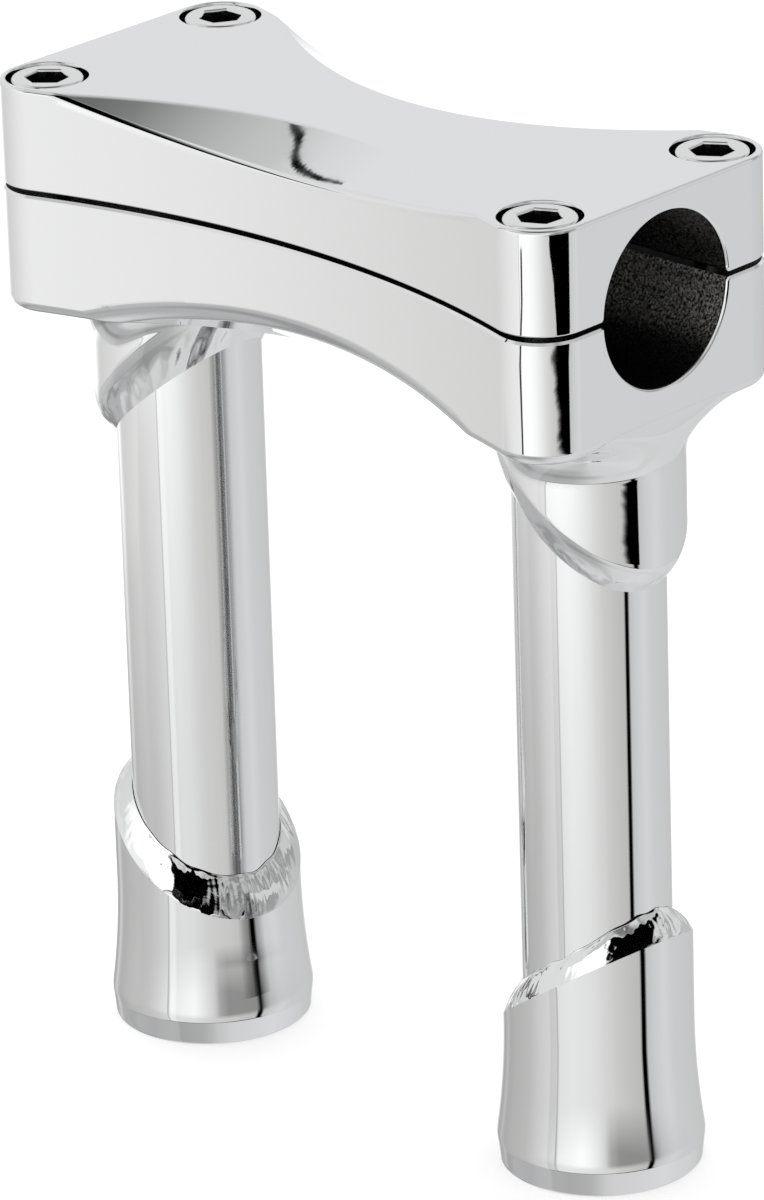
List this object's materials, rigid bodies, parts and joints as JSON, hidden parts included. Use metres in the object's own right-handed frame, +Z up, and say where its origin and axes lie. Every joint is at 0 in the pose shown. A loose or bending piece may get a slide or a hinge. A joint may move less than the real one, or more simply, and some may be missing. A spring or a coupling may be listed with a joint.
{
  "type": "handlebar riser",
  "caption": "Chrome handlebar riser: a waisted two-piece bar clamp with scooped edges, on straight tube legs with mitred, welded necks and flared feet.",
  "frame": {"origin": "on the floor, midway between the two feet", "axes": "+X along the handlebar towards the right leg, +Y to the back, +Z up along the legs"},
  "size_m": [0.1238, 0.0558, 0.1701],
  "materials": {
    "polished_chrome": "mirror polish",
    "screw_chrome": "bright plated",
    "smoothed_weld": "ground smooth and plated",
    "rippled_weld": "plated over the weld's ripples"
  },
  "bodies": {
    "root": {"upper_clamp": "polished_chrome", "lower_clamp": "polished_chrome", "clamp_screws": "screw_chrome", "left_tube": "polished_chrome", "right_tube": "polished_chrome", "left_foot": "polished_chrome", "right_foot": "polished_chrome", "left_neck_weld": "smoothed_weld", "right_neck_weld": "smoothed_weld", "left_foot_weld": "rippled_weld", "right_foot_weld": "rippled_weld"}
  },
  "joints": []
}
